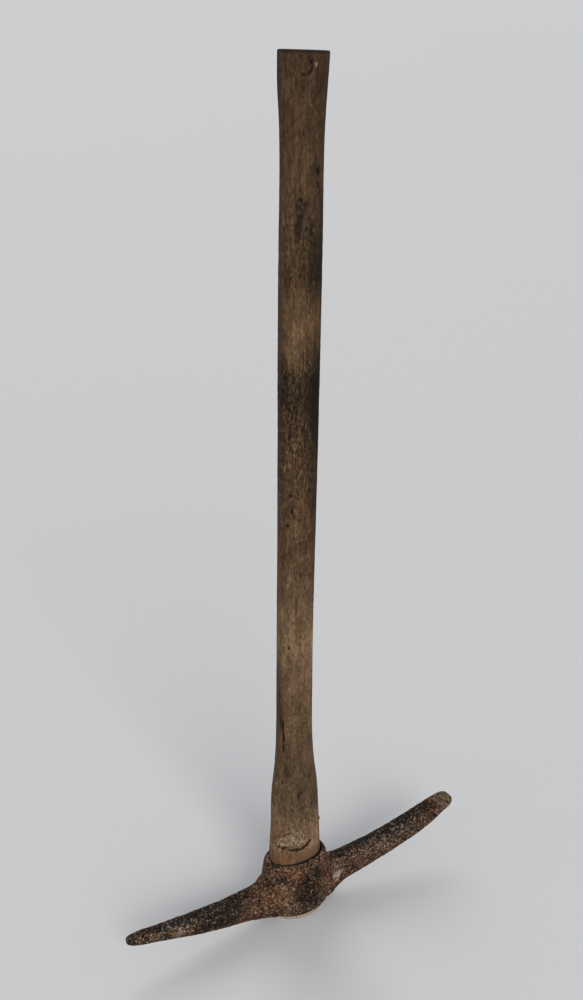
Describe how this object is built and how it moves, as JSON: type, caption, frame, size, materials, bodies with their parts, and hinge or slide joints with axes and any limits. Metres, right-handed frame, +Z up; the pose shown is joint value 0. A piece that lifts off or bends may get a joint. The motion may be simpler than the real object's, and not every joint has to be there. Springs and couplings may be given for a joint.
{
  "type": "double-ended grub hoe pick",
  "caption": "Digging pick for orchard work: forged head with a chisel end and a blunt point, wedged on the flared foot of a straight wooden handle.",
  "frame": {"origin": "middle of the handle's flat butt, which stands on the ground below the head", "axes": "+Z up the handle towards the grip end, +X along the head towards the narrow chisel end, -X towards the blunt point"},
  "size_m": [0.4183, 0.0562, 0.914],
  "materials": {
    "wood": "weathered hardwood, dry and dark with handling, grain along the handle",
    "iron": "old forged iron, pitted, brown and orange rust over a dark scale"
  },
  "bodies": {
    "handle": {"handle": "wood"},
    "head": {"pick_head": "iron"}
  },
  "joints": [
    {"name": "head_slide", "type": "slide", "parent": "handle", "child": "head", "axis": [0, 0, 1], "range_m": [0, 0.91]}
  ]
}
